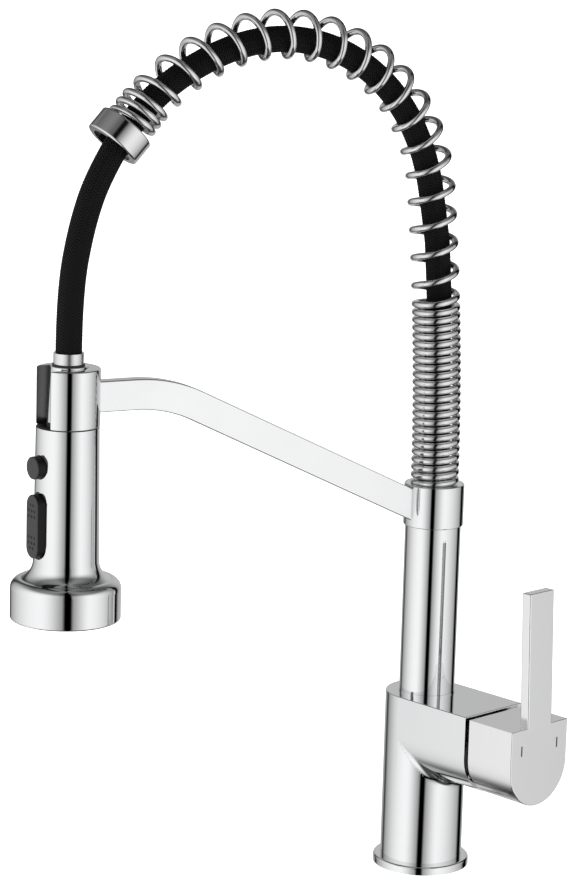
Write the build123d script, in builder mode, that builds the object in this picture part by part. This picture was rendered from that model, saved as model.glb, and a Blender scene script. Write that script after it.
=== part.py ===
"""Deck-mounted kitchen faucet with a spring neck, a docking arm and a pull-down spray head.

Millimetres, +Z up. The origin is the middle of the face that stands on the deck. The spout lies in the
XZ plane and points to -X. The valve housing and its lever point along their own bearing in the XY plane.
"""
import os
from math import cos, pi, radians, sin, tan

from build123d import *

os.makedirs("parts", exist_ok=True)

# Fits, measured on the radius or along the axis
running_gap = 0.05
seat_gap = 0.1
free_gap = 0.4

# Base flange and gasket
flange_diameter = 50.0
flange_height = 4.2
flange_edge = 1.2
gasket_rim = 2.0
gasket_width = 3.5
gasket_thickness = 1.5

# Valve body: an upright cylinder with a flat-topped housing on one side
body_diameter = 42.6
body_height = 93.0
body_edge = 0.6
spigot_diameter = 36.0
handle_bearing = -73.0
housing_reach = 47.5
cartridge_drop = 21.5
cartridge_seat = 14.5
cartridge_diameter = 35.0
mouth_depth = 7.5
mouth_wall = 2.1

# Threaded ports in the underside
stud_hole_diameter = 6.8
stud_hole_depth = 16.0
stud_offset = 10.0
inlet_diameter = 9.0
inlet_depth = 12.0
inlet_offset = 5.5
inlet_spread = 15.0
channel_diameter = 5.5
inlet_drop = 8.0
outlet_drop = 0.7

# Swivel of the spout
pivot_diameter = 21.8
pivot_depth = 18.5
pivot_bore = 10.0
socket_depth = 25.5
socket_clearance = 0.3
bush_length = 7.5
bush_wall = 1.2
slip_ring_height = 0.8
slip_ring_overhang = 0.2
seal_section = 2.0
seal_drops = (16.7, 13.4)
seal_groove_width = 2.4
lock_drop = 9.5
lock_groove_width = 3.0
lock_groove_depth = 1.6
lock_screw_diameter = 4.0
lock_tip_diameter = 2.4
lock_recess = 1.5

# Riser, collar and spring seat
riser_diameter = 28.8
riser_wall = 2.4
riser_plug = 10.0
collar_bottom = 181.8
collar_top = 203.5
collar_diameter = 31.0
collar_edge = 0.6
seat_flange = 4.0
seat_pilot = 9.5

# Spring neck: each stretch of its centreline is an arc, given by radius and turn in degrees
neck_arcs = ((1370.0, 6.4), (86.3, 103.4), (111.8, 37.5))
wire_diameter = 3.5
coil_diameter = 25.0
close_pitch = 4.05
open_pitch = 14.3
end_pitch = 4.8
close_length = 92.5
opening_length = 9.0
closing_start = 350.0
closing_length = 12.0
spring_end = 375.0
coil_phase_at = 239.8

# Hose and the ferrule that ends the spring
hose_diameter = 13.0
hose_bore = 8.0
hose_bend_share = 0.45
nipple_flange = 3.0
nipple_barb = 14.0
nipple_thread = 9.0
nipple_bore = 5.6
ferrule_at = 380.0
ferrule_offset = 1.2
ferrule_tilt = 8.0
ferrule_diameter = 28.6
ferrule_length = 12.0
ferrule_bore = 21.2
ferrule_cup_bore = 26.4
ferrule_cup_depth = 5.0
ferrule_edge = 1.0

# Docking arm and clip
head_reach = 204.3
arm_height = 15.2
arm_thickness = 7.5
arm_edge = 0.8
arm_root_lift = 1.4
arm_slope = 25.7
arm_level = 260.1
arm_bend_radius = 75.0
clip_lift = 0.3
clip_drop = 1.0
clip_diameter = 31.3
clip_slot = 18.0
clip_edge = 0.8
dock_top_diameter = 18.0
dock_bottom_diameter = 20.6
dock_clearance = 0.5

# Hose end and the swivel of the spray head
sleeve_top = 282.2
sleeve_length = 14.2
sleeve_diameter = 14.8
sleeve_edge = 0.8
sleeve_barb = 10.0
sleeve_ring_diameter = 15.8
sleeve_ring_height = 0.8
stem_diameter = 11.0
stem_bore = 5.6
stem_journal_top = 264.0
stem_shoulder = 253.0
stem_flange_diameter = 14.4
stem_flange_height = 4.0
stem_seal_thickness = 0.6

# Spray head
head_top = 246.2
neck_length = 29.8
neck_edge = 0.6
neck_undercut_height = 2.6
neck_undercut_depth = 1.3
neck_spigot = 10.0
neck_recess_diameter = 15.8
neck_gasket_thickness = 1.2
valve_height = 8.0
valve_bore = 8.0
head_top_diameter = 30.8
head_low_diameter = 32.2
head_wall = 2.4
flare_bottom = 171.4
flare_height = 8.6
flare_diameter = 43.6
bell_diameter = 54.1
bell_shoulder = 166.4
bell_bottom = 151.1
bell_lip = 1.2
core_bottom = 162.5
core_flange_height = 3.0
core_channel_diameter = 6.0
core_channel_offset = 7.0
plate_lift = 0.6
plate_thickness = 3.4
nozzle_sheet = 1.5
nozzle_proud = 0.4
nozzle_diameter = 2.0
nozzle_ring_radii = (11.5, 16.0, 20.5)
nozzle_ring_counts = (10, 14, 18)
aerator_diameter = 15.0
aerator_hole_diameter = 1.6
aerator_hole_depth = 4.0
aerator_ring_radii = (2.4, 4.8)
aerator_ring_counts = (6, 12)

# Controls on the head, on a bearing turned a little from the spout's line
head_turn = 8.0
control_depth = 13.6
button_drop = 18.7
button_diameter = 11.1
button_proud = 4.0
button_edge = 0.5
button_travel = 2.2
button_stem_diameter = 5.0
button_stem_length = 8.0
control_spacing = 7.55
rocker_width = 11.0
rocker_length = 31.4
rocker_proud = 3.6
rocker_edge = 0.8
rocker_tilt = 4.0
rocker_pivot = 9.0
rocker_lug_width = 6.0
rocker_lug_height = 8.0
rocker_lug_end = 1.8
rocker_pin_diameter = 2.0
rocker_pin_length = 13.0
plunger_diameter = 5.0
plunger_length = 12.0
plunger_drop = 10.0
plunger_gap = 0.4
spray_channel_diameter = 4.0
spray_channel_offset = 3.0

# Cartridge, along the housing's axis
cartridge_seal_thickness = 1.2
cartridge_seal_width = 1.6
cup_floor = 3.0
cup_wall = 2.3
disc_thickness = 3.5
moving_disc_thickness = 4.5
moving_disc_diameter = 24.0
disc_cavity_diameter = 15.0
disc_cavity_depth = 2.2
disc_pocket_depth = 1.9
rotor_length = 12.0
rotor_gap = 0.3
lid_thickness = 1.8
lid_bore = 23.0
lever_pivot = 34.0
pivot_pin_diameter = 3.0
pivot_pin_length = 22.0
spindle_width = 8.0
spindle_tip_diameter = 5.6
nut_length = 5.5
nut_bore = 26.0
trim_diameter = 36.8
trim_wall = 4.4
trim_length = 3.3

# Handle: a hollow cap of the housing's section, with a flat lever that leans back a little from its face
flow_angle = 12.0
cap_gap = 2.5
cap_face = 78.9
cap_drop = 0.8
cap_diameter = 42.0
cap_wall = 2.4
cap_edge = 0.6
face_thickness = 6.9
boss_diameter = 16.0
boss_length = 15.0
spindle_end_gap = 2.0
handle_screw_diameter = 5.0
handle_screw_length = 4.0
screw_access_diameter = 6.5
lever_top = 161.0
lever_width = 18.0
lever_thickness = 5.6
lever_edge = 0.8
lever_tip_edge = 0.6
lever_lean = 2.0
mark_width = 1.0
mark_length = 5.3
mark_depth = 0.8
mark_spread = 26.4
mark_drop = 11.0


def ring(plane, outer_radius, inner_radius, length, mode=Mode.ADD):
    """A plain tube that stands on a plane, in the part being built."""
    with BuildSketch(plane) as section:
        Circle(outer_radius)
        Circle(inner_radius, mode=Mode.SUBTRACT)
    extrude(section.sketch, amount=length, mode=mode)


def rod(plane, radius, length, mode=Mode.ADD):
    """A plain cylinder that stands on a plane, in the part being built."""
    with BuildSketch(plane) as section:
        Circle(radius)
    extrude(section.sketch, amount=length, mode=mode)


def keep(piece, name):
    """Names a finished piece and writes it."""
    piece.label = name
    export_step(piece, f"parts/{name}.step")


# Base flange: a turned ring with a groove for its gasket
flange_radius = flange_diameter / 2
spigot_radius = spigot_diameter / 2
gasket_outer = flange_radius - gasket_rim
gasket_inner = gasket_outer - gasket_width
with BuildPart() as base_flange:
    rod(Plane.XY, flange_radius, flange_height)
    fillet(base_flange.edges().sort_by(Axis.Z)[-1], flange_edge)
    rod(Plane.XY, spigot_radius + seat_gap, flange_height, Mode.SUBTRACT)
    ring(Plane.XY, gasket_outer, gasket_inner, gasket_thickness, Mode.SUBTRACT)
keep(base_flange.part, "base_flange")

with BuildPart() as base_gasket:
    ring(Plane.XY, gasket_outer - seat_gap, gasket_inner + seat_gap, gasket_thickness)
keep(base_gasket.part, "base_gasket")

# Directions of the valve housing: along its axis and across it
handle_axis = Vector(cos(radians(handle_bearing)), sin(radians(handle_bearing)), 0)
across = Vector(-sin(radians(handle_bearing)), cos(radians(handle_bearing)), 0)
cartridge_height = body_height - cartridge_drop
housing_plane = Plane(origin=(0, 0, cartridge_height), x_dir=across, z_dir=handle_axis)


def housing_section(plane, half_width, top):
    """Flat top, upright sides and a half-round underside about the cartridge's axis."""
    with BuildSketch(plane) as section:
        with BuildLine():
            Polyline((-half_width, 0), (-half_width, top), (half_width, top), (half_width, 0))
            ThreePointArc((half_width, 0), (0, -half_width), (-half_width, 0))
        make_face()
    return section.sketch


def over_deck(along, sideways, height):
    """A level plane over a point of the housing's plan."""
    return Plane(origin=handle_axis * along + across * sideways + Vector(0, 0, height))


def in_housing(along, sideways, lift):
    """A plane square to the cartridge's axis, placed along, across and above it."""
    place = handle_axis * along + across * sideways + Vector(0, 0, cartridge_height + lift)
    return Plane(origin=place, x_dir=across, z_dir=handle_axis)


# Valve body: cylinder and housing in one casting, with the cartridge's seat, the spout's socket and the ports
body_radius = body_diameter / 2
pivot_radius = pivot_diameter / 2
socket_radius = pivot_radius + socket_clearance
bush_radius = pivot_radius + running_gap + bush_wall
bush_floor = body_height - bush_length
socket_floor = body_height - socket_depth
mouth_radius = body_radius - mouth_wall
cartridge_radius = cartridge_diameter / 2
channel_radius = channel_diameter / 2
lock_radius = lock_screw_diameter / 2
lock_height = body_height - lock_drop
back_plane = Plane(origin=(0, 0, lock_height), x_dir=across, z_dir=-handle_axis)
inlet_sides = (-inlet_spread / 2, inlet_spread / 2)
with BuildPart() as valve_body:
    rod(Plane.XY.offset(flange_height), body_radius, body_height - flange_height)
    extrude(housing_section(housing_plane, body_radius, body_height - cartridge_height), amount=housing_reach)
    fillet(valve_body.faces().sort_by(Axis.Z)[-1].edges(), body_edge)
    rod(Plane.XY, spigot_radius, flange_height)
    rod(in_housing(cartridge_seat, 0, 0), cartridge_radius + seat_gap, housing_reach, Mode.SUBTRACT)
    rod(in_housing(housing_reach - mouth_depth, 0, 0), mouth_radius, mouth_depth, Mode.SUBTRACT)
    rod(Plane.XY.offset(socket_floor), socket_radius, body_height - socket_floor, Mode.SUBTRACT)
    rod(Plane.XY.offset(bush_floor), bush_radius + seat_gap, bush_length, Mode.SUBTRACT)
    rod(back_plane, lock_radius + seat_gap, body_diameter, Mode.SUBTRACT)
    rod(over_deck(-stud_offset, 0, 0), stud_hole_diameter / 2, stud_hole_depth, Mode.SUBTRACT)
    rod(in_housing(0, 0, -outlet_drop), channel_radius, cartridge_seat + seat_gap, Mode.SUBTRACT)
    for side in inlet_sides:
        rod(over_deck(inlet_offset, side, 0), inlet_diameter / 2, inlet_depth, Mode.SUBTRACT)
        rod(over_deck(inlet_offset, side, 0), channel_radius, cartridge_height - inlet_drop, Mode.SUBTRACT)
        rod(in_housing(inlet_offset, side, -inlet_drop), channel_radius, cartridge_seat, Mode.SUBTRACT)
keep(valve_body.part, "valve_body")

# Swivel: a bush in the body, a slip ring under the riser, and the screw that keeps the spout in its socket
with BuildPart() as swivel_bush:
    ring(Plane.XY.offset(bush_floor), bush_radius, pivot_radius + running_gap, bush_length)
keep(swivel_bush.part, "swivel_bush")

riser_radius = riser_diameter / 2
riser_bore = riser_radius - riser_wall
slip_top = body_height + slip_ring_height
with BuildPart() as slip_ring:
    slip_radius = riser_radius + slip_ring_overhang
    ring(Plane.XY.offset(body_height), slip_radius, pivot_radius + running_gap, slip_ring_height)
keep(slip_ring.part, "slip_ring")

lock_groove_radius = pivot_radius - lock_groove_depth
lock_shank_start = pivot_radius + free_gap
lock_tip_start = lock_groove_radius + free_gap
with BuildPart() as spout_screw:
    rod(back_plane.offset(lock_shank_start), lock_radius, body_radius - lock_recess - lock_shank_start)
    rod(back_plane.offset(lock_tip_start), lock_tip_diameter / 2, lock_shank_start - lock_tip_start)
keep(spout_screw.part, "spout_screw")

# Spout pivot: turns in the bush, carries two seals, and plugs into the foot of the riser
riser_bottom = slip_top + running_gap
pivot_top = riser_bottom + riser_plug
pivot_bottom = body_height - pivot_depth
seal_heights = [body_height - drop for drop in seal_drops]
seal_radius = seal_section / 2
seal_ring_radius = socket_radius - running_gap - seal_radius
with BuildPart() as spout_pivot:
    rod(Plane.XY.offset(pivot_bottom), pivot_radius, riser_bottom - pivot_bottom)
    rod(Plane.XY.offset(riser_bottom), riser_bore - seat_gap, riser_plug)
    rod(Plane.XY.offset(pivot_bottom), pivot_bore / 2, pivot_top - pivot_bottom, Mode.SUBTRACT)
    for seal_height in seal_heights:
        groove = Plane.XY.offset(seal_height - seal_groove_width / 2)
        groove_radius = seal_ring_radius - seal_radius - running_gap
        ring(groove, pivot_diameter, groove_radius, seal_groove_width, Mode.SUBTRACT)
    lock_groove = Plane.XY.offset(lock_height - lock_groove_width / 2)
    ring(lock_groove, pivot_diameter, lock_groove_radius, lock_groove_width, Mode.SUBTRACT)
keep(spout_pivot.part, "spout_pivot")

with BuildPart() as spout_seals:
    for seal_height in seal_heights:
        with Locations((0, 0, seal_height)):
            Torus(seal_ring_radius, seal_radius)
keep(spout_seals.part, "spout_seals")

# Riser tube, the collar round its top, and the seat that the spring stands on
seat_bottom = collar_top - seat_flange
with BuildPart() as riser_tube:
    ring(Plane.XY.offset(riser_bottom), riser_radius, riser_bore, seat_bottom - riser_bottom)
keep(riser_tube.part, "riser_tube")

collar_radius = collar_diameter / 2
with BuildPart() as dock_collar:
    rod(Plane.XY.offset(collar_bottom), collar_radius, collar_top - collar_bottom)
    fillet(dock_collar.edges().filter_by(GeomType.CIRCLE), collar_edge)
    rod(Plane.XY.offset(collar_bottom), riser_radius + seat_gap, collar_top - collar_bottom, Mode.SUBTRACT)
keep(dock_collar.part, "dock_collar")

wire_radius = wire_diameter / 2
hose_radius = hose_diameter / 2
coil_bore = coil_diameter / 2 - wire_diameter
with BuildPart() as spring_seat:
    rod(Plane.XY.offset(seat_bottom), riser_radius, seat_flange)
    rod(Plane.XY.offset(seat_bottom - riser_plug), riser_bore - seat_gap, riser_plug)
    rod(Plane.XY.offset(collar_top), coil_bore - free_gap, seat_pilot)
    seat_length = riser_plug + seat_flange + seat_pilot
    rod(Plane.XY.offset(seat_bottom - riser_plug), hose_radius + free_gap, seat_length, Mode.SUBTRACT)
keep(spring_seat.part, "spring_seat")


def neck(length):
    """Point, direction and outer side of the neck's centreline, at a length above the collar."""
    reach, height, heading = 0.0, collar_top, 0.0
    for radius, turn in neck_arcs:
        walked = min(length, radius * radians(turn))
        turned = heading + walked / radius
        reach += radius * (cos(heading) - cos(turned))
        height += radius * (sin(turned) - sin(heading))
        heading = turned
        length -= walked
    direction = Vector(-sin(heading), 0, cos(heading))
    outer_side = Vector(cos(heading), 0, sin(heading))
    return Vector(-reach, 0, height), direction, outer_side


# Spring neck: close turns on the riser, open turns over the arch, a few close turns in the ferrule
pitch_stops = (
    (0.0, close_pitch),
    (close_length, close_pitch),
    (close_length + opening_length, open_pitch),
    (closing_start, open_pitch),
    (closing_start + closing_length, end_pitch),
    (spring_end + end_pitch, end_pitch),
)


def pitch_at(length):
    """Pitch of the spring, straight-line between neighbouring stops."""
    for (low, low_pitch), (high, high_pitch) in zip(pitch_stops, pitch_stops[1:]):
        if length <= high:
            return low_pitch + (high_pitch - low_pitch) * (length - low) / (high - low)
    return end_pitch


coil_radius = coil_diameter / 2 - wire_radius
spring_start = wire_radius + seat_gap
walk_step = 0.02
half_turns = [spring_start]
walked, turned, phase_turn = spring_start, 0.0, 0.0
while walked < spring_end:
    turned += walk_step / pitch_at(walked)
    walked += walk_step
    if walked <= coil_phase_at:
        phase_turn = turned
    if turned >= len(half_turns) / 2:
        half_turns.append(walked)


def wire(index, nudge=0.0):
    """Middle of the wire at a half turn, or a nudge of the turn away from it."""
    low = min(max(int(index + nudge), 0), len(half_turns) - 2)
    length = half_turns[low] + (half_turns[low + 1] - half_turns[low]) * (index + nudge - low)
    angle = pi * (index + nudge) - 2 * pi * phase_turn
    middle, _, outer_side = neck(length)
    return middle + outer_side * (coil_radius * cos(angle)) + Vector(0, coil_radius * sin(angle), 0)


def biarc(start, start_way, end, end_way):
    """Joint of the two arcs that meet both ends along their directions."""
    chord = end - start
    ways = start_way + end_way
    spread = 2 * (1 - start_way.dot(end_way))
    along = chord.dot(ways)
    reach = ((along**2 + spread * chord.dot(chord)) ** 0.5 - along) / spread
    return (start + end + (start_way - end_way) * reach) * 0.5


turn_nudge = 0.01
spring_points = [wire(index) for index in range(len(half_turns))]
spring_ways = [
    (wire(index, turn_nudge) - wire(index, -turn_nudge)).normalized() for index in range(len(half_turns))
]
with BuildPart() as neck_spring:
    with BuildLine() as spring_route:
        for index in range(len(half_turns) - 1):
            ends = spring_points[index], spring_points[index + 1]
            ways = spring_ways[index], spring_ways[index + 1]
            joint = biarc(ends[0], ways[0], ends[1], ways[1])
            first_arc = TangentArc(ends[0], joint, tangent=ways[0])
            TangentArc(joint, ends[1], tangent=first_arc % 1)
    with BuildSketch(Plane(origin=spring_points[0], z_dir=spring_ways[0])):
        Circle(wire_radius)
    sweep()
keep(neck_spring.part, "neck_spring")

arc_samples = 8
route_points = [edge @ (step / arc_samples) for edge in spring_route.edges() for step in range(arc_samples)]
turn_samples = 4 * arc_samples
least_gap = min(
    (point - other).length - wire_diameter
    for place, point in enumerate(route_points)
    for other in route_points[place + turn_samples // 2:place + 2 * turn_samples]
)
print(f"spring: {(len(half_turns) - 1) / 2:.1f} turns, least gap to itself {least_gap:.2f} mm")

# Hose: a nipple in the riser feeds it, and it follows the neck into the ferrule
nipple_start = pivot_top - nipple_thread
hose_start = pivot_top + nipple_flange
hose_bore_radius = hose_bore / 2
with BuildPart() as hose_nipple:
    rod(Plane.XY.offset(nipple_start), pivot_bore / 2 - seat_gap, nipple_thread)
    rod(Plane.XY.offset(pivot_top), hose_radius, nipple_flange)
    rod(Plane.XY.offset(hose_start), hose_bore_radius - seat_gap, nipple_barb)
    nipple_length = nipple_thread + nipple_flange + nipple_barb
    rod(Plane.XY.offset(nipple_start), nipple_bore / 2, nipple_length, Mode.SUBTRACT)
keep(hose_nipple.part, "hose_nipple")

arc_ends = [0.0]
for radius, turn in neck_arcs:
    arc_ends.append(arc_ends[-1] + radius * radians(turn))
with BuildPart() as hose_upper:
    with BuildLine():
        Line((0, 0, hose_start), (0, 0, collar_top))
        for arc_start, arc_end in zip(arc_ends, arc_ends[1:]):
            TangentArc(neck(arc_start)[0], neck(arc_end)[0], tangent=neck(arc_start)[1])
    with BuildSketch(Plane.XY.offset(hose_start)):
        Circle(hose_radius)
        Circle(hose_bore_radius, mode=Mode.SUBTRACT)
    sweep()
keep(hose_upper.part, "hose_upper")

# Free stretch of the hose, from the ferrule down to the spray head
hose_exit, _, _ = neck(arc_ends[-1])
hose_route = [
    hose_exit,
    Vector(-190.0, 0, 367.0),
    Vector(-198.5, 0, 343.1),
    Vector(-head_reach, 0, 311.4),
    Vector(-head_reach, 0, sleeve_top),
]
hose_radii = []
for before, corner, after in zip(hose_route, hose_route[1:], hose_route[2:]):
    shorter_run = min((corner - before).length, (after - corner).length)
    half_turn = radians((corner - before).get_angle(after - corner)) / 2
    hose_radii.append(hose_bend_share * shorter_run / tan(half_turn))
print("hose bend radii", [round(radius) for radius in hose_radii])
with BuildPart() as hose_lower:
    with BuildLine() as hose_lower_route:
        FilletPolyline(*hose_route, radius=hose_radii)
    with BuildSketch(Plane(origin=hose_exit, z_dir=hose_route[1] - hose_exit)):
        Circle(hose_radius)
        Circle(hose_bore_radius, mode=Mode.SUBTRACT)
    sweep()
keep(hose_lower.part, "hose_lower")
print("hose free length", round(hose_lower_route.wire().length, 1), "exit", hose_exit)

# Ferrule: a cup that takes the last turns of the spring, hung a little off the hose
ferrule_middle, ferrule_way, ferrule_side = neck(ferrule_at)
ferrule_turn = radians(ferrule_tilt)
ferrule_axis = ferrule_way * cos(ferrule_turn) + ferrule_side * sin(ferrule_turn)
ferrule_plane = Plane(
    origin=ferrule_middle + ferrule_side * ferrule_offset - ferrule_axis * (ferrule_length / 2),
    x_dir=(0, 1, 0),
    z_dir=ferrule_axis,
)
with BuildPart() as end_ferrule:
    rod(ferrule_plane, ferrule_diameter / 2, ferrule_length)
    fillet(end_ferrule.edges().filter_by(GeomType.CIRCLE), ferrule_edge)
    rod(ferrule_plane, ferrule_bore / 2, ferrule_length, Mode.SUBTRACT)
    rod(ferrule_plane, ferrule_cup_bore / 2, ferrule_cup_depth, Mode.SUBTRACT)
keep(end_ferrule.part, "end_ferrule")

# Docking arm: a flat bar that climbs from the collar, then runs level to the clip
clip_radius = clip_diameter / 2
arm_root = Vector(-collar_radius, 0, (collar_bottom + collar_top) / 2 + arm_root_lift)
arm_way = Vector(-cos(radians(arm_slope)), 0, sin(radians(arm_slope)))
arm_corner = arm_root + arm_way * ((arm_level - arm_root.Z) / sin(radians(arm_slope)))
arm_overrun = arm_height / 2
arm_foot = arm_root - arm_way * arm_overrun
arm_tip = Vector(-head_reach + clip_radius - arm_overrun, 0, arm_level)
with BuildPart() as dock_arm:
    with BuildLine():
        FilletPolyline(arm_foot, arm_corner, arm_tip, radius=arm_bend_radius)
    with BuildSketch(Plane(origin=arm_foot, x_dir=(0, 1, 0), z_dir=arm_way)):
        RectangleRounded(arm_thickness, arm_height, arm_edge)
    sweep()
    rod(Plane.XY.offset(arm_root.Z - 2 * arm_height), collar_radius, 4 * arm_height, Mode.SUBTRACT)
    clip_foot = Plane(origin=(-head_reach, 0, arm_level - arm_height))
    rod(clip_foot, clip_radius, 2 * arm_height, Mode.SUBTRACT)
keep(dock_arm.part, "dock_arm")


def on_head(height):
    """A level plane on the axis of the spray head."""
    return Plane(origin=(-head_reach, 0, height))


neck_top = head_top + neck_length


def dock_radius(height):
    """Radius of the spray head's neck, which narrows upward."""
    share = (height - head_top) / (neck_top - head_top)
    return (dock_bottom_diameter + (dock_top_diameter - dock_bottom_diameter) * share) / 2


# Docking clip: a ring with a conical bore, open on the side away from the riser
clip_bottom = head_top + clip_lift
clip_top = neck_top - clip_drop
with BuildPart() as dock_clip:
    clip_height = clip_top - clip_bottom
    rod(on_head(clip_bottom), clip_radius, clip_height)
    fillet(dock_clip.edges().filter_by(GeomType.CIRCLE), clip_edge)
    with Locations((-head_reach, 0, clip_bottom)):
        Cone(
            dock_radius(clip_bottom) + dock_clearance,
            dock_radius(clip_top) + dock_clearance,
            clip_height,
            align=(Align.CENTER, Align.CENTER, Align.MIN),
            mode=Mode.SUBTRACT,
        )
        slot_align = (Align.MAX, Align.CENTER, Align.MIN)
        Box(clip_diameter, clip_slot, clip_height, align=slot_align, mode=Mode.SUBTRACT)
keep(dock_clip.part, "dock_clip")

# Hose end: a sleeve with a barb, and the stem that the spray head turns on
sleeve_bottom = sleeve_top - sleeve_length
stem_bore_radius = stem_bore / 2
with BuildPart() as crimp_sleeve:
    rod(on_head(sleeve_bottom), sleeve_diameter / 2, sleeve_length)
    fillet(crimp_sleeve.edges().filter_by(GeomType.CIRCLE).sort_by(Axis.Z)[0], sleeve_edge)
    rod(on_head(sleeve_top), hose_bore_radius - seat_gap, sleeve_barb)
    rod(on_head(sleeve_bottom), stem_bore_radius, sleeve_length + sleeve_barb, Mode.SUBTRACT)
keep(crimp_sleeve.part, "crimp_sleeve")

with BuildPart() as sleeve_ring:
    ring(
        on_head(neck_top + running_gap),
        sleeve_ring_diameter / 2,
        sleeve_diameter / 2 + seat_gap,
        sleeve_ring_height,
    )
keep(sleeve_ring.part, "sleeve_ring")

stem_radius = stem_diameter / 2
stem_flange_radius = stem_flange_diameter / 2
stem_flange_top = stem_shoulder - running_gap - stem_seal_thickness
stem_bottom = stem_flange_top - stem_flange_height
with BuildPart() as swivel_stem:
    rod(on_head(stem_bottom), stem_radius, sleeve_bottom - stem_bottom)
    rod(on_head(stem_bottom), stem_flange_radius, stem_flange_height)
    rod(on_head(stem_bottom), stem_bore_radius, sleeve_bottom - stem_bottom, Mode.SUBTRACT)
keep(swivel_stem.part, "swivel_stem")

with BuildPart() as swivel_seal:
    ring(on_head(stem_flange_top), stem_flange_radius, stem_radius + seat_gap, stem_seal_thickness)
keep(swivel_seal.part, "swivel_seal")

# Neck of the spray head: the cone that docks, the journal for the stem, and a spigot into the shell
neck_bottom = head_top - neck_spigot
chamber_radius = stem_flange_radius + free_gap
head_bore = head_top_diameter / 2 - head_wall
with BuildPart() as head_neck:
    with Locations((-head_reach, 0, head_top)):
        Cone(
            dock_radius(head_top),
            dock_radius(neck_top),
            neck_top - head_top,
            align=(Align.CENTER, Align.CENTER, Align.MIN),
        )
    fillet(head_neck.edges().filter_by(GeomType.CIRCLE).sort_by(Axis.Z)[-1], neck_edge)
    undercut_radius = dock_radius(head_top) - neck_undercut_depth
    ring(on_head(head_top), dock_bottom_diameter, undercut_radius, neck_undercut_height, Mode.SUBTRACT)
    rod(on_head(neck_bottom), head_bore - seat_gap, neck_spigot)
    rod(on_head(neck_bottom), chamber_radius, stem_shoulder - neck_bottom, Mode.SUBTRACT)
    rod(on_head(stem_shoulder), stem_radius + running_gap, neck_top - stem_shoulder, Mode.SUBTRACT)
    rod(on_head(stem_journal_top), neck_recess_diameter / 2, neck_top - stem_journal_top, Mode.SUBTRACT)
keep(head_neck.part, "head_neck")

with BuildPart() as dock_ring:
    ring_height = neck_undercut_height - 2 * seat_gap
    ring(on_head(head_top + seat_gap), dock_radius(head_top), undercut_radius + seat_gap, ring_height)
keep(dock_ring.part, "dock_ring")

with BuildPart() as check_valve:
    ring(on_head(neck_bottom), chamber_radius - seat_gap, valve_bore / 2, valve_height)
keep(check_valve.part, "check_valve")

core_top = neck_bottom - neck_gasket_thickness
with BuildPart() as neck_gasket:
    ring(on_head(core_top), head_bore - seat_gap, valve_bore / 2, neck_gasket_thickness)
keep(neck_gasket.part, "neck_gasket")

# Controls stand square to the head's axis on one bearing
control_bearing = radians(180 + head_turn)
control_way = Vector(cos(control_bearing), sin(control_bearing), 0)
control_side = Vector(-sin(control_bearing), cos(control_bearing), 0)
flare_top = flare_bottom + flare_height
button_height = head_top - button_drop
rocker_height = button_height - button_diameter / 2 - control_spacing - rocker_length / 2


def control(radius, height):
    """A plane that faces out of the head at the controls."""
    place = Vector(-head_reach, 0, height) + control_way * radius
    return Plane(origin=place, x_dir=control_side, z_dir=control_way)


def head_radius(height):
    """Outer radius of the head's grip."""
    share = (head_top - height) / (head_top - flare_top)
    return (head_top_diameter + (head_low_diameter - head_top_diameter) * share) / 2


def upright_slot(plane, length, width, amount, mode=Mode.ADD):
    """A round-ended bar, upright on a control plane, in the part being built."""
    with BuildSketch(plane) as section:
        SlotOverall(length, width, rotation=90)
    extrude(section.sketch, amount=amount, mode=mode)


def block(plane, width, height, amount, mode=Mode.ADD):
    """A square-cornered bar on a plane, in the part being built."""
    with BuildSketch(plane) as section:
        Rectangle(width, height)
    extrude(section.sketch, amount=amount, mode=mode)


# Shell of the spray head: grip, flare and bell in one turned shape, with a hole and a window for the controls
bell_radius = bell_diameter / 2
bell_bore = bell_radius - head_wall
flare_radius = flare_diameter / 2
button_radius = button_diameter / 2
button_face = head_radius(button_height) + button_proud
rocker_face = head_radius(rocker_height) + rocker_proud
rocker_swing = (rocker_face - rocker_pivot) * sin(radians(rocker_tilt)) + 0.5 * free_gap
window_length = rocker_length + 2 * rocker_swing
window_width = rocker_width + 2 * free_gap
pin_plane = Plane(origin=control(rocker_pivot, rocker_height).origin, x_dir=control_way, z_dir=control_side)
head_profile = Plane(origin=(-head_reach, 0, 0), x_dir=(1, 0, 0), z_dir=(0, -1, 0))
with BuildPart() as head_shell:
    with BuildSketch(head_profile):
        with BuildLine():
            inner_flare = (flare_radius - head_wall / 4, flare_bottom - head_wall)
            Line((head_bore, head_top), (head_radius(head_top), head_top))
            Line((head_radius(head_top), head_top), (head_radius(flare_top), flare_top))
            TangentArc((head_radius(flare_top), flare_top), (flare_radius, flare_bottom), tangent=(0, -1))
            TangentArc((bell_radius, bell_shoulder), (flare_radius, flare_bottom), tangent=(0, 1))
            Line((bell_radius, bell_shoulder), (bell_radius, bell_bottom))
            Line((bell_radius, bell_bottom), (bell_bore, bell_bottom))
            Line((bell_bore, bell_bottom), (bell_bore, bell_shoulder))
            TangentArc((bell_bore, bell_shoulder), inner_flare, tangent=(0, 1))
            TangentArc((head_bore, flare_top), inner_flare, tangent=(0, -1))
            Line((head_bore, flare_top), (head_bore, head_top))
        make_face()
    revolve(axis=Axis((-head_reach, 0, 0), (0, 0, 1)))
    bell_edges = head_shell.edges().filter_by(GeomType.CIRCLE).group_by(Axis.Z)[0]
    fillet(bell_edges.sort_by(SortBy.RADIUS)[-1], bell_lip)
    rod(control(0, button_height), button_radius + free_gap, bell_radius, Mode.SUBTRACT)
    upright_slot(control(0, rocker_height), window_length, window_width, bell_radius, Mode.SUBTRACT)
keep(head_shell.part, "head_shell")

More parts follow.
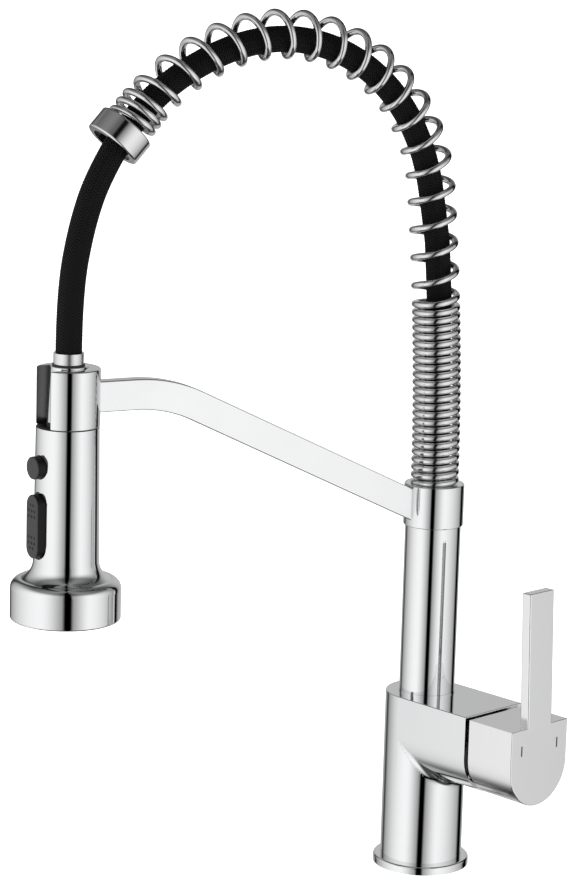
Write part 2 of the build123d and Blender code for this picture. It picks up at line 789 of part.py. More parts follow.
# Pause button: a round cap on a stem that slides in the core
button_stem_start = control_depth - button_stem_length
with BuildPart() as pause_button:
    rod(control(control_depth, button_height), button_radius, button_face - control_depth)
    fillet(pause_button.faces().sort_by(Axis.X)[0].edges(), button_edge)
    rod(control(button_stem_start, button_height), button_stem_diameter / 2, button_stem_length)
keep(pause_button.part, "pause_button")

# Spray rocker: a long key on a lug that tips on a pin
lug_start = rocker_pivot - rocker_lug_end
pin_radius = rocker_pin_diameter / 2
with BuildPart() as spray_rocker:
    key_depth = rocker_face - control_depth
    upright_slot(control(control_depth, rocker_height), rocker_length, rocker_width, key_depth)
    fillet(spray_rocker.faces().sort_by(Axis.X)[0].edges(), rocker_edge)
    block(control(lug_start, rocker_height), rocker_lug_width, rocker_lug_height, control_depth - lug_start)
    rod(pin_plane.offset(-rocker_pin_length), pin_radius + running_gap, 2 * rocker_pin_length, Mode.SUBTRACT)
keep(spray_rocker.part, "spray_rocker")

with BuildPart() as rocker_pin:
    rod(pin_plane.offset(-rocker_pin_length / 2), pin_radius, rocker_pin_length)
keep(rocker_pin.part, "rocker_pin")

# Diverter plunger: a rod behind the lower half of the rocker, which pushes it in
plunger_height = rocker_height - plunger_drop
plunger_start = control_depth - plunger_gap - plunger_length
plunger_travel = plunger_drop * sin(radians(rocker_tilt))
with BuildPart() as diverter_plunger:
    rod(control(plunger_start, plunger_height), plunger_diameter / 2, plunger_length)
keep(diverter_plunger.part, "diverter_plunger")

# Core of the spray head: fills the grip, with pockets for the controls and a flange in the bell
key_clearance = control_depth - (rocker_length / 2) * sin(radians(rocker_tilt)) - free_gap
with BuildPart() as head_core:
    rod(on_head(core_bottom), head_bore - seat_gap, core_top - core_bottom)
    rod(on_head(core_bottom), bell_bore - seat_gap, core_flange_height)
    channel_place = Vector(-head_reach, 0, core_bottom) - control_way * core_channel_offset
    rod(Plane(origin=channel_place), core_channel_diameter / 2, core_top - core_bottom, Mode.SUBTRACT)
    plunger_bore = control(plunger_start - plunger_travel - free_gap, plunger_height)
    rod(plunger_bore, plunger_diameter / 2 + running_gap, head_bore, Mode.SUBTRACT)
    spray_channel = Vector(-head_reach, 0, core_bottom) + control_way * spray_channel_offset
    rod(Plane(origin=spray_channel), spray_channel_diameter / 2, plunger_height - core_bottom, Mode.SUBTRACT)
    button_pocket = control(control_depth - button_travel - free_gap, button_height)
    rod(button_pocket, button_radius + free_gap, head_bore, Mode.SUBTRACT)
    stem_pocket = control(button_stem_start - button_travel - free_gap, button_height)
    rod(stem_pocket, button_stem_diameter / 2 + running_gap, head_bore, Mode.SUBTRACT)
    upright_slot(control(key_clearance, rocker_height), window_length, window_width, head_bore, Mode.SUBTRACT)
    lug_pocket = control(lug_start - 2 * free_gap, rocker_height)
    lug_width = rocker_lug_width + 2 * free_gap
    lug_height = rocker_lug_height + 4 * free_gap
    block(lug_pocket, lug_width, lug_height, head_bore, Mode.SUBTRACT)
    rod(pin_plane.offset(-rocker_pin_length / 2), pin_radius + running_gap, rocker_pin_length, Mode.SUBTRACT)
keep(head_core.part, "head_core")

# Spray face: aerator in the middle, a rubber sheet of nozzles, and the plate they look through
plate_bottom = bell_bottom + plate_lift
sheet_bottom = plate_bottom + plate_thickness
aerator_radius = aerator_diameter / 2
nozzle_radius = nozzle_diameter / 2
with BuildPart() as aerator:
    rod(on_head(plate_bottom), aerator_radius, core_bottom - plate_bottom)
    with BuildSketch(on_head(plate_bottom)) as aerator_mesh:
        Circle(aerator_hole_diameter / 2)
        for radius, count in zip(aerator_ring_radii, aerator_ring_counts):
            with PolarLocations(radius, count):
                Circle(aerator_hole_diameter / 2)
    extrude(aerator_mesh.sketch, amount=aerator_hole_depth, mode=Mode.SUBTRACT)
keep(aerator.part, "aerator")

with BuildPart() as spray_nozzles:
    ring(on_head(sheet_bottom), bell_bore - free_gap, aerator_radius + seat_gap, nozzle_sheet)
    with BuildSketch(on_head(plate_bottom - nozzle_proud)) as nozzle_tips:
        for radius, count in zip(nozzle_ring_radii, nozzle_ring_counts):
            with PolarLocations(radius, count):
                Circle(nozzle_radius)
    extrude(nozzle_tips.sketch, amount=plate_thickness + nozzle_proud + nozzle_sheet / 2)
keep(spray_nozzles.part, "spray_nozzles")

with BuildPart() as spray_plate:
    ring(on_head(plate_bottom), bell_bore - seat_gap, aerator_radius + seat_gap, plate_thickness)
    with BuildSketch(on_head(plate_bottom)) as nozzle_holes:
        for radius, count in zip(nozzle_ring_radii, nozzle_ring_counts):
            with PolarLocations(radius, count):
                Circle(nozzle_radius + running_gap)
    extrude(nozzle_holes.sketch, amount=plate_thickness, mode=Mode.SUBTRACT)
keep(spray_plate.part, "spray_plate")

# Cartridge: seals at the ports, a cup, a fixed disc, and the nut and ring that hold it in the housing
cup_start = cartridge_seat + cartridge_seal_thickness
fixed_disc_start = cup_start + cup_floor
moving_disc_start = fixed_disc_start + disc_thickness
rotor_start = moving_disc_start + moving_disc_thickness + rotor_gap
rotor_end = rotor_start + rotor_length
cup_end = rotor_end + 0.5 * rotor_gap + lid_thickness
cup_bore = cartridge_radius - cup_wall
port_places = [(side, -inlet_drop) for side in inlet_sides] + [(0, -outlet_drop)]
with BuildPart() as cartridge_seals:
    for side, lift in port_places:
        seal_plane = in_housing(cartridge_seat, side, lift)
        ring(seal_plane, channel_radius + cartridge_seal_width, channel_radius, cartridge_seal_thickness)
keep(cartridge_seals.part, "cartridge_seals")

with BuildPart() as cartridge_cup:
    rod(in_housing(cup_start, 0, 0), cartridge_radius, cup_end - cup_start)
    rod(in_housing(fixed_disc_start, 0, 0), cup_bore, cup_end - fixed_disc_start, Mode.SUBTRACT)
    for side, lift in port_places:
        rod(in_housing(cup_start, side, lift), channel_radius, cup_floor, Mode.SUBTRACT)
keep(cartridge_cup.part, "cartridge_cup")

with BuildPart() as fixed_disc:
    rod(in_housing(fixed_disc_start, 0, 0), cup_bore - seat_gap, disc_thickness)
    for side, lift in port_places:
        rod(in_housing(fixed_disc_start, side, lift), channel_radius, disc_thickness, Mode.SUBTRACT)
keep(fixed_disc.part, "fixed_disc")

with BuildPart() as cartridge_lid:
    ring(in_housing(cup_end - lid_thickness, 0, 0), cup_bore - seat_gap, lid_bore / 2, lid_thickness)
keep(cartridge_lid.part, "cartridge_lid")

with BuildPart() as retaining_nut:
    ring(in_housing(cup_end, 0, 0), mouth_radius - seat_gap, nut_bore / 2, nut_length)
keep(retaining_nut.part, "retaining_nut")

trim_start = cup_end + nut_length
with BuildPart() as trim_ring:
    ring(in_housing(trim_start, 0, 0), trim_diameter / 2, trim_diameter / 2 - trim_wall, trim_length)
keep(trim_ring.part, "trim_ring")

# Moving half of the cartridge: a rotor that turns for temperature and a disc that slides for flow
tip_length = rotor_start - rotor_gap - disc_pocket_depth
tip_arm = lever_pivot - tip_length
disc_travel = tip_arm * sin(radians(flow_angle))
tip_radius = spindle_tip_diameter / 2
flow_turn = radians(flow_angle)
tip_room = tip_radius / cos(flow_turn) + disc_pocket_depth * sin(flow_turn) + seat_gap
slot_height = spindle_width / cos(flow_turn) + rotor_length * sin(flow_turn) + 2 * free_gap
pin_line = Plane(origin=in_housing(lever_pivot, 0, 0).origin, x_dir=handle_axis, z_dir=across)
with BuildPart() as cartridge_rotor:
    rod(in_housing(rotor_start, 0, 0), cup_bore - running_gap, rotor_length)
    block(in_housing(rotor_start, 0, 0), spindle_width + free_gap, slot_height, rotor_length, Mode.SUBTRACT)
    pin_hole = pin_line.offset(-pivot_pin_length / 2)
    rod(pin_hole, pivot_pin_diameter / 2 + running_gap, pivot_pin_length, Mode.SUBTRACT)
keep(cartridge_rotor.part, "cartridge_rotor")

with BuildPart() as pivot_pin:
    rod(pin_line.offset(-pivot_pin_length / 2), pivot_pin_diameter / 2, pivot_pin_length)
keep(pivot_pin.part, "pivot_pin")

with BuildPart() as moving_disc:
    rod(in_housing(moving_disc_start, 0, 0), moving_disc_diameter / 2, moving_disc_thickness)
    rod(in_housing(moving_disc_start, 0, 0), disc_cavity_diameter / 2, disc_cavity_depth, Mode.SUBTRACT)
    rod(in_housing(tip_length, 0, 0), tip_room, disc_pocket_depth, Mode.SUBTRACT)
keep(moving_disc.part, "moving_disc")

# Spindle: square bar from the disc to the handle, with a round tip in the disc's pocket
cap_start = housing_reach + cap_gap
cavity_end = cap_face - face_thickness
spindle_start = rotor_start + spindle_width / 2 * sin(flow_turn)
spindle_end = cavity_end - spindle_end_gap
tip_end = tip_length + 0.25 * disc_pocket_depth
with BuildPart() as cartridge_spindle:
    block(in_housing(spindle_start, 0, 0), spindle_width, spindle_width, spindle_end - spindle_start)
    rod(in_housing(tip_end, 0, 0), tip_radius, spindle_start - tip_end)
    pin_hole = pin_line.offset(-spindle_width)
    rod(pin_hole, pivot_pin_diameter / 2 + running_gap, 2 * spindle_width, Mode.SUBTRACT)
keep(cartridge_spindle.part, "cartridge_spindle")

# Handle: cap, boss on the spindle and lever in one casting, relieved behind to tip clear of the housing
cap_half = cap_diameter / 2
cap_top = body_height - cap_drop
mark_height = cap_top - mark_drop
cap_rise = cap_top - cartridge_height
lever_start = cap_top - cap_wall
lever_line = in_housing(cap_face - lever_thickness / 2, 0, lever_start - cartridge_height)
lever_foot = Plane(origin=lever_line.origin, x_dir=across)
lever_way = Vector(0, 0, 1) - handle_axis * tan(radians(lever_lean))
screw_along = cavity_end - boss_length / 2
screw_top = cartridge_height - spindle_width / 2 - running_gap
tipped = Axis(in_housing(lever_pivot, 0, 0).origin, across)
with BuildPart() as handle_lever:
    extrude(housing_section(in_housing(cap_start, 0, 0), cap_half, cap_rise), amount=cap_face - cap_start)
    fillet(handle_lever.faces().sort_by(Axis((0, 0, 0), handle_axis))[-1].edges(), cap_edge)
    inner_section = housing_section(in_housing(cap_start, 0, 0), cap_half - cap_wall, cap_rise - cap_wall)
    extrude(inner_section, amount=cavity_end - cap_start, mode=Mode.SUBTRACT)
    rod(in_housing(cavity_end - boss_length, 0, 0), boss_diameter / 2, boss_length)
    with BuildSketch(lever_foot) as lever_section:
        RectangleRounded(lever_width, lever_thickness, lever_edge)
    extrude(lever_section.sketch, amount=(lever_top - lever_start) * lever_way.length, dir=lever_way)
    fillet(handle_lever.faces().sort_by(Axis.Z)[-1].edges(), lever_tip_edge)
    spindle_room = spindle_width + running_gap
    block(in_housing(cavity_end - boss_length, 0, 0), spindle_room, spindle_room, boss_length, Mode.SUBTRACT)
    access = over_deck(screw_along, 0, cartridge_height - cap_diameter)
    rod(access, screw_access_diameter / 2, cap_half, Mode.SUBTRACT)
    rod(access, handle_screw_diameter / 2 + seat_gap, cap_diameter, Mode.SUBTRACT)
    relief = in_housing(housing_reach + free_gap, 0, 0)
    with BuildSketch(relief) as relief_section:
        Rectangle(2 * cap_diameter, 2 * cap_diameter)
    relief_block = extrude(relief_section.sketch, amount=-cap_diameter, mode=Mode.PRIVATE)
    add(relief_block.rotate(tipped, -flow_angle), mode=Mode.SUBTRACT)
    mark_places = (-mark_spread / 2, mark_spread / 2)
    for side in mark_places:
        mark = in_housing(cap_face - mark_depth, side, mark_height - cartridge_height)
        block(mark, mark_width, mark_length, mark_depth, Mode.SUBTRACT)
keep(handle_lever.part, "handle_lever")

with BuildPart() as handle_screw:
    screw_foot = over_deck(screw_along, 0, screw_top - handle_screw_length)
    rod(screw_foot, handle_screw_diameter / 2, handle_screw_length)
keep(handle_screw.part, "handle_screw")

with BuildPart() as temperature_marks:
    for side in mark_places:
        mark = in_housing(cap_face - mark_depth, side, mark_height - cartridge_height)
        block(mark, mark_width - running_gap, mark_length - running_gap, mark_depth)
keep(temperature_marks.part, "temperature_marks")

print("disc travel", round(disc_travel, 3), "plunger travel", round(plunger_travel, 3))
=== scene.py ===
"""Looks of a pull-down kitchen faucet with a spring neck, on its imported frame. Lengths are in metres."""

from math import atan2, cos, pi, radians, sin

import bpy
import numpy as np
from mathutils import Matrix, Vector


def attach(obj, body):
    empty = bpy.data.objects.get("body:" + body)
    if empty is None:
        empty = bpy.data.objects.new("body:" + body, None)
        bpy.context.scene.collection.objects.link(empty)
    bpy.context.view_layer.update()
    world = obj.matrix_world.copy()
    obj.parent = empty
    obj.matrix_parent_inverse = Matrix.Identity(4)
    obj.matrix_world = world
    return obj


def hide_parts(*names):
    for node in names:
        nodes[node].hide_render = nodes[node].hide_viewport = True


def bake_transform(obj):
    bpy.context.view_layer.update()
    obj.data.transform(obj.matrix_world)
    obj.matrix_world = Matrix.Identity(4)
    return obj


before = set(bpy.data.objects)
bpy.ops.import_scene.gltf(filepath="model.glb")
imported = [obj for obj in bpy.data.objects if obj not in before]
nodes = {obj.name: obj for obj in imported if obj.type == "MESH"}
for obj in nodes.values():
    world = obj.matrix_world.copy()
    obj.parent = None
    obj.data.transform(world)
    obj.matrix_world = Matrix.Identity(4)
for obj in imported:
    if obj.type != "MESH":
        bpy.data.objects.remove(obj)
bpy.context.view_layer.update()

# Base: a turned flange on a rubber gasket, and over it the valve body, a brass casting ground and
# polished before it was plated with bright chrome. A thin chromed ring lies under the turning spout.


class Sock:
    """One output of a shader tree; arithmetic on it adds Math nodes."""

    def __init__(self, tree, socket=None):
        self.tree = tree
        self.socket = socket

    def node(self, kind, settings=None, inputs=None, output=0):
        """Adds a node of any kind, with its settings and inputs, and gives one of its outputs."""
        made = self.tree.nodes.new("ShaderNode" + kind)
        for key, value in (settings or {}).items():
            setattr(made, key, value)
        for key, value in (inputs or {}).items():
            if isinstance(value, Sock):
                self.tree.links.new(value.socket, made.inputs[key])
            else:
                made.inputs[key].default_value = value
        return Sock(self.tree, made.outputs[output])

    def __add__(self, other):
        return self.node("Math", {"operation": "ADD"}, {0: self, 1: other})

    def __radd__(self, other):
        return self.node("Math", {"operation": "ADD"}, {0: other, 1: self})

    def __sub__(self, other):
        return self.node("Math", {"operation": "SUBTRACT"}, {0: self, 1: other})

    def __rsub__(self, other):
        return self.node("Math", {"operation": "SUBTRACT"}, {0: other, 1: self})

    def __mul__(self, other):
        return self.node("Math", {"operation": "MULTIPLY"}, {0: self, 1: other})

    def __rmul__(self, other):
        return self.node("Math", {"operation": "MULTIPLY"}, {0: other, 1: self})

    def __abs__(self):
        return self.node("Math", {"operation": "ABSOLUTE"}, {0: self})


def new_finish(name, colour, metallic, roughness):
    """Starts a material: its shader, and the place on the object as a socket."""
    material = bpy.data.materials.new(name)
    material.use_nodes = True
    shader = material.node_tree.nodes["Principled BSDF"]
    shader.inputs["Base Color"].default_value = (*colour, 1)
    shader.inputs["Metallic"].default_value = metallic
    shader.inputs["Roughness"].default_value = roughness
    place = Sock(material.node_tree).node("TexCoord", output="Object")
    return material, shader, place


def noise(place, scale, detail=3.0):
    """Cloudy values about 0.5 over the object, scale to the metre."""
    return place.node("TexNoise", {}, {"Vector": place, "Scale": scale, "Detail": detail}, "Fac")


def feed(shader, key, value):
    """Links a socket to one of a shader's inputs."""
    value.tree.links.new(value.socket, shader.inputs[key])


def grain(shader, height, strength):
    """Roughens a surface with a height, a tenth of a millimetre deep at full strength."""
    settings = {"Height": height, "Strength": strength, "Distance": 0.0001}
    feed(shader, "Normal", height.node("Bump", {}, settings))


def plated(name, colour, roughness):
    """Bright plate with faint wiping smears, which show only as a little more or less gloss."""
    material, shader, place = new_finish(name, colour, 1.0, roughness)
    broad = noise(place, 45.0)
    fine = noise(place, 700.0)
    smears = broad * 0.6 + fine * 0.4
    feed(shader, "Roughness", roughness * (0.5 + smears))
    return material


def moulded(name, colour, roughness, strength=0.1):
    """Moulded plastic or rubber with a fine spark-eroded grain."""
    material, shader, place = new_finish(name, colour, 0.0, roughness)
    fine = noise(place, 2600.0, 2.0)
    feed(shader, "Roughness", roughness * (0.8 + fine * 0.4))
    grain(shader, fine, strength)
    return material


def give(material, *names):
    """Puts one material on CAD nodes."""
    for name in names:
        nodes[name].data.materials.clear()
        nodes[name].data.materials.append(material)


def rope_faces(rings, sides, first):
    """Quads of a closed tube of rings, numbered from a first point, with one face over each end."""
    ring, side = np.meshgrid(np.arange(rings - 1), np.arange(sides), indexing="ij")
    here = first + ring * sides + side
    beside = first + ring * sides + (side + 1) % sides
    quads = np.stack((here, beside, beside + sides, here + sides), axis=-1).reshape(-1, 4).tolist()
    last = first + (rings - 1) * sides
    return quads + [list(range(first, first + sides))[::-1], list(range(last, last + sides))]


def make(name, points, faces, material):
    """A smooth mesh object of points and faces."""
    mesh = bpy.data.meshes.new(name)
    mesh.from_pydata(points.tolist(), [], faces)
    mesh.polygons.foreach_set("use_smooth", np.ones(len(mesh.polygons), bool))
    mesh.materials.append(material)
    made = bpy.data.objects.new(name, mesh)
    bpy.context.scene.collection.objects.link(made)
    return made


def make_tube(name, grid, material):
    """A closed tube from a grid of points, one row to a ring."""
    rings, sides, _ = grid.shape
    return make(name, grid.reshape(-1, 3), rope_faces(rings, sides, 0), material)


chrome_colour = (0.80, 0.805, 0.81)
chrome = plated("chrome", chrome_colour, 0.045)
seal_rubber = moulded("seal_rubber", (0.012, 0.012, 0.012), 0.55)
white_plastic = moulded("white_plastic", (0.78, 0.78, 0.75), 0.4)
give(chrome, "base_flange", "valve_body", "slip_ring")
give(seal_rubber, "base_gasket")
give(white_plastic, "swivel_bush")

mm = 0.001
body_radius = 21.3 * mm
cartridge_height = 71.5 * mm
corner_radius = 6.0 * mm
sunk_length = 2.0 * mm
sunk_depth = 0.06 * mm
corner_depth = 0.4 * mm
handle_bearing = radians(-73.0)


def corner_rows():
    """Rows of points of the fillet under the housing. Housing and body have one radius, so at an angle
    across them their walls meet at the radius times its cosine, out from the body's axis and down from
    the housing's. Each row is the fillet's section set there and scaled by that cosine: a quarter arc
    with its two ends run on and sunk in the walls, and a point behind the corner that closes it."""
    angle = np.linspace(-pi / 2, pi / 2, 61)[:, None]
    arc = np.linspace(pi / 2, 0.0, 13)
    run_on = corner_radius + sunk_length
    arc_out = corner_radius * (1 - np.cos(arc))
    arc_rise = -corner_radius * (1 - np.sin(arc))
    section_out = np.concatenate(((run_on,), arc_out, (-sunk_depth, -corner_depth)))
    section_rise = np.concatenate(((sunk_depth,), arc_rise, (-run_on, corner_depth)))
    out = (body_radius + section_out) * np.cos(angle)
    height = cartridge_height - (body_radius - section_rise) * np.cos(angle)
    aside = body_radius * np.sin(angle) + np.zeros_like(out)
    x = cos(handle_bearing) * out - sin(handle_bearing) * aside
    y = sin(handle_bearing) * out + cos(handle_bearing) * aside
    return np.stack((x, y, height), axis=-1)


housing_corner = make_tube("housing_corner", corner_rows(), chrome)
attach(housing_corner, "base")

# Cartridge: a grey plastic cup with lapped ceramic discs and rubber port seals, held in the housing by
# a brass nut. A black trim ring closes the gap behind the handle.
cartridge_plastic = moulded("cartridge_plastic", (0.26, 0.29, 0.33), 0.45)
dark_plastic = moulded("dark_plastic", (0.012, 0.012, 0.013), 0.4)
ceramic = moulded("ceramic", (0.83, 0.8, 0.74), 0.16, 0.02)
brass = plated("brass", (0.72, 0.52, 0.24), 0.28)
steel = plated("steel", (0.56, 0.56, 0.55), 0.3)
give(seal_rubber, "cartridge_seals")
give(cartridge_plastic, "cartridge_cup", "cartridge_lid", "cartridge_rotor")
give(ceramic, "fixed_disc", "moving_disc")
give(brass, "retaining_nut", "cartridge_spindle")
give(steel, "pivot_pin", "handle_screw", "spout_screw")
give(dark_plastic, "trim_ring")

# Handle: cap and lever in one zinc casting, polished and chromed like the body, on the cartridge's
# spindle. Two slits in its face are filled flush with dark lacquer to mark hot and cold.
mark_lacquer = moulded("mark_lacquer", (0.03, 0.03, 0.03), 0.3, 0.02)
handle_chrome = plated("handle_chrome", (0.83, 0.83, 0.835), 0.18)
give(handle_chrome, "handle_lever")
give(mark_lacquer, "temperature_marks")

# Spout: a brass pivot with rubber rings turns in the body and carries the riser tube, the collar that
# holds the docking arm, and the seat of the spring. The tube and collar are drawn and chromed.
give(brass, "spout_pivot", "hose_nipple")
give(seal_rubber, "spout_seals")
give(chrome, "riser_tube", "dock_collar", "spring_seat")

# Neck spring: one length of round spring wire, wound close on the straight and open over the arch,
# then bright plated. Its lowest turn is ground flat to stand on the collar.
neck_metal = plated("neck_metal", (0.72, 0.72, 0.725), 0.12)
give(neck_metal, "neck_spring")

neck_start = 203.5 * mm
wire_radius = 1.75 * mm
wire_start = radians(-58.65)
coil_radius = 10.75 * mm
close_pitch = 4.05 * mm
foot_turns = 0.83
seat_gap = 0.1 * mm
ground_gap = 0.02 * mm


def foot_rings():
    """Rings of the wire below the spring's lowest turn. It winds back and down at the close pitch, each
    ring square to its slope, and what would go below the collar's top is ground off flat."""
    turn = np.linspace(0.0, -2 * pi * foot_turns, 61)[:, None]
    around = 2 * pi * np.arange(16) / 16
    slope = atan2(close_pitch, 2 * pi * coil_radius)
    bearing = wire_start + turn
    out = coil_radius + wire_radius * np.cos(around)
    lift = wire_radius * np.sin(around)
    x = out * np.cos(bearing) + lift * sin(slope) * np.sin(bearing)
    y = out * np.sin(bearing) - lift * sin(slope) * np.cos(bearing)
    middle = neck_start + wire_radius + seat_gap + close_pitch * turn / (2 * pi)
    height = np.maximum(middle + lift * cos(slope), neck_start + ground_gap)
    return np.stack((x, y, height), axis=-1)


spring_foot = make_tube("spring_foot", foot_rings(), neck_metal)
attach(spring_foot, "spout")

# Hose: a rubber tube in a braided black sleeve. It comes up through the riser, follows the spring and
# hangs free from the ferrule to the spray head.
hose_radius = 6.5 * mm
hose_start = 106.85 * mm
hidden_length = 186 * mm
neck_arcs = ((1370.0 * mm, 6.4), (86.3 * mm, 103.4), (111.8 * mm, 37.5))
lean_at = np.array((0, 20, 95, 125, 145, 163, 181, 200, 300, 325, 343, 361, 379)) * mm
lean_out = np.array((0, 0, 1.9, 1.9, 0.3, -1.2, -2.0, -2.3, -2.4, -2.1, -1.3, -0.7, 0)) * mm
core_gap = 0.4 * mm
core_sides = 40
core_step = 1.5 * mm
carriers = 24
braid_lay = 36 * mm
strand_width = 0.96 * mm
strand_rise = 0.16 * mm
strand_crown = 0.12 * mm
strand_section = ((-0.5, -0.8), (0.0, 1.0), (0.5, -0.8))
rings_to_crossing = 2.5


def neck_line(spacing):
    """Points of the hose in the neck: straight up the riser, then by arcs that each turn on from the last,
    moved to the outer side by its lean, as the hose lies against the inside of the spring's arch."""
    x, z, heading, walked = 0.0, neck_start, 0.0, 0.0
    line = [(0.0, 0.0, height) for height in np.arange(hose_start, neck_start - spacing / 2, spacing)]
    for radius, turn in neck_arcs:
        steps = round(radius * radians(turn) / spacing)
        headings = heading + radians(turn) * np.arange(steps + 1) / steps
        lean = np.interp(walked + radius * (headings - heading), lean_at, lean_out)
        along = x - radius * (cos(heading) - np.cos(headings)) + lean * np.cos(headings)
        above = z + radius * (np.sin(headings) - sin(heading)) + lean * np.sin(headings)
        line += [(a, 0.0, b) for a, b in zip(along[1:], above[1:])]
        x -= radius * (cos(heading) - cos(headings[-1]))
        z += radius * (sin(headings[-1]) - sin(heading))
        walked += radius * radians(turn)
        heading = headings[-1]
    return np.array(line)


def on_line(line, run, turn, radius):
    """Points round a line that lies in the plane Y = 0: a length along it, an angle from its outer side
    towards +Y, and a distance from it."""
    legs = np.diff(line, axis=0)
    runs = np.concatenate(((0.0,), np.cumsum(np.linalg.norm(legs, axis=1))))
    tangents = np.gradient(line, runs, axis=0)
    tangents /= np.linalg.norm(tangents, axis=1)[:, None]
    run = np.clip(run, 0.0, runs[-1])
    centre = np.stack([np.interp(run, runs, line[:, k]) for k in range(3)], axis=-1)
    way_x = np.interp(run, runs, tangents[:, 0])
    way_z = np.interp(run, runs, tangents[:, 2])
    out = np.cos(turn) * radius
    centre[..., 0] += way_z * out
    centre[..., 1] += np.sin(turn) * radius
    centre[..., 2] -= way_x * out
    return centre


def length_of(line):
    """Length of a line of points."""
    return float(np.linalg.norm(np.diff(line, axis=0), axis=1).sum())


def braided(name, line, bare, material):
    """A hose along a line: a plain core, and after a bare length a braid on it. Each strand winds at a
    steady lay and rises and dips over two and under two of the strands that wind the other way."""
    full = length_of(line)
    mid = hose_radius - strand_crown - strand_rise
    rings = max(int(full / core_step), 2)
    core_turns = 2 * pi * np.arange(core_sides) / core_sides
    run, turn = np.meshgrid(np.linspace(0, full, rings), core_turns, indexing="ij")
    points = [on_line(line, run, turn, np.full_like(run, hose_radius - core_gap)).reshape(-1, 3)]
    faces = rope_faces(rings, core_sides, 0)
    first = rings * core_sides
    slant = atan2(2 * pi * mid, braid_lay)
    samples = int((full - bare) / braid_lay * carriers * rings_to_crossing)
    run = np.linspace(bare, full, samples)
    for way in (1, -1):
        for strand in range(carriers):
            turn = 2 * pi * (strand / carriers + way * run / braid_lay)
            crossing = 2 * strand + way * 2 * carriers * run / braid_lay
            wave = way * np.cos(pi / 2 * (crossing - 0.5))
            rows = []
            for across, lift in strand_section:
                aside = across * strand_width
                row_run = run - way * sin(slant) * aside
                row_turn = turn + cos(slant) * aside / mid
                radius = mid + strand_rise * wave + strand_crown * lift
                rows.append(on_line(line, row_run, row_turn, radius))
            points.append(np.stack(rows, axis=1).reshape(-1, 3))
            faces += rope_faces(samples, len(rows), first)
            first += samples * len(rows)
    return make(name, np.concatenate(points), faces, material)


hose_braid, shader, place = new_finish("hose_braid", (0.004, 0.004, 0.0042), 0.0, 0.5)
shader.inputs["Specular IOR Level"].default_value = 0.22
filaments = noise(place, 3200.0, 2.0)
feed(shader, "Roughness", 0.38 + filaments * 0.25)
grain(shader, filaments, 0.25)

hose_upper = braided("hose_in_neck", neck_line(2 * mm), hidden_length, hose_braid)
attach(hose_upper, "spout")
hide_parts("hose_upper")

hose_route = (
    (-179.743, 0.0, 382.999),
    (-190.0, 0.0, 367.0),
    (-198.5, 0.0, 343.1),
    (-204.3, 0.0, 311.4),
    (-204.3, 0.0, 282.2),
)
hose_curve = bpy.data.curves.new("hose_route", "CURVE")
hose_curve.dimensions = "3D"
hose_curve.resolution_u = 16
spline = hose_curve.splines.new("NURBS")
spline.points.add(len(hose_route) - 1)
for point, spot in zip(spline.points, hose_route):
    point.co = (*(Vector(spot) * mm), 1)
spline.order_u = 3
spline.use_endpoint_u = True
route_holder = bpy.data.objects.new("hose_route", hose_curve)
route_mesh = bpy.data.meshes.new_from_object(route_holder)
hang = np.array([vertex.co for vertex in route_mesh.vertices])
bpy.data.objects.remove(route_holder)
bpy.data.meshes.remove(route_mesh)

hose_lower = braided("hose_hanging", hang, 0.0, hose_braid)
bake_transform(hose_lower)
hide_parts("hose_lower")

# Ferrule, docking arm and clip: a turned cup on the last turns of the spring, and a bent flat bar
# brazed to the collar at one end and to the open clip at the other, all chromed. The cut faces of the
# clip's opening are dull and darker.
arm_chrome = plated("arm_chrome", (0.84, 0.845, 0.85), 0.22)
give(neck_metal, "end_ferrule")
give(arm_chrome, "dock_arm")


def step(value, low, high):
    """Rises smoothly from 0 at a low value to 1 at a high one."""
    limits = {"Value": value, "From Min": low, "From Max": high}
    return value.node("MapRange", {"interpolation_type": "SMOOTHSTEP"}, limits)


def axes_of(place):
    """The three parts of a place."""
    outputs = place.node("SeparateXYZ", {}, {"Vector": place}).socket.node.outputs
    return [Sock(place.tree, output) for output in outputs]


def two_tone(shader, share, plain, other):
    """Colours a surface from its plain colour to another by a share."""
    settings = {"Factor": share, "A": (*plain, 1), "B": (*other, 1)}
    feed(shader, "Base Color", share.node("Mix", {"data_type": "RGBA"}, settings, 2))


head_axis = -204.3 * mm
slot_half = 9.1 * mm
cut_edge = 0.1 * mm
clip_chrome, shader, place = new_finish("clip_chrome", chrome_colour, 1.0, 0.05)
clip_x, clip_y, _ = axes_of(place)
behind = step(clip_x, head_axis, head_axis + cut_edge)
cut = (1.0 - step(abs(clip_y), slot_half, slot_half + cut_edge)) * (1.0 - behind)
two_tone(shader, cut, chrome_colour, (0.14, 0.14, 0.14))
feed(shader, "Roughness", 0.045 + cut * 0.3)
give(clip_chrome, "dock_clip")

# Hose end: a chromed sleeve crimped on the hose, and a brass swivel stem that turns in the neck of the
# head on a rubber ring.
sleeve_metal = plated("sleeve_metal", (0.76, 0.76, 0.76), 0.25)
give(sleeve_metal, "crimp_sleeve")
give(brass, "swivel_stem")
give(seal_rubber, "swivel_seal", "sleeve_ring")

# Spray head: chromed neck and shell over a white plastic core, with a grey rubber nozzle sheet behind
# a dark face plate. A thin black rubber sheet on the head's top, where it meets the clip, is painted shade
# for the shadowed seam there.
nozzle_rubber = moulded("nozzle_rubber", (0.08, 0.08, 0.085), 0.5)
give(chrome, "head_neck", "head_shell")
give(white_plastic, "head_core", "check_valve")
give(seal_rubber, "neck_gasket", "dock_ring")
give(steel, "rocker_pin")
give(brass, "diverter_plunger")
give(nozzle_rubber, "spray_nozzles")
give(dark_plastic, "spray_plate", "aerator")

shade_pad_inner = 10.5 * mm
shade_pad_outer = 15.1 * mm
shade_pad_bottom = 246.2 * mm
shade_pad_top = 246.45 * mm
shade_pad_sides = 72


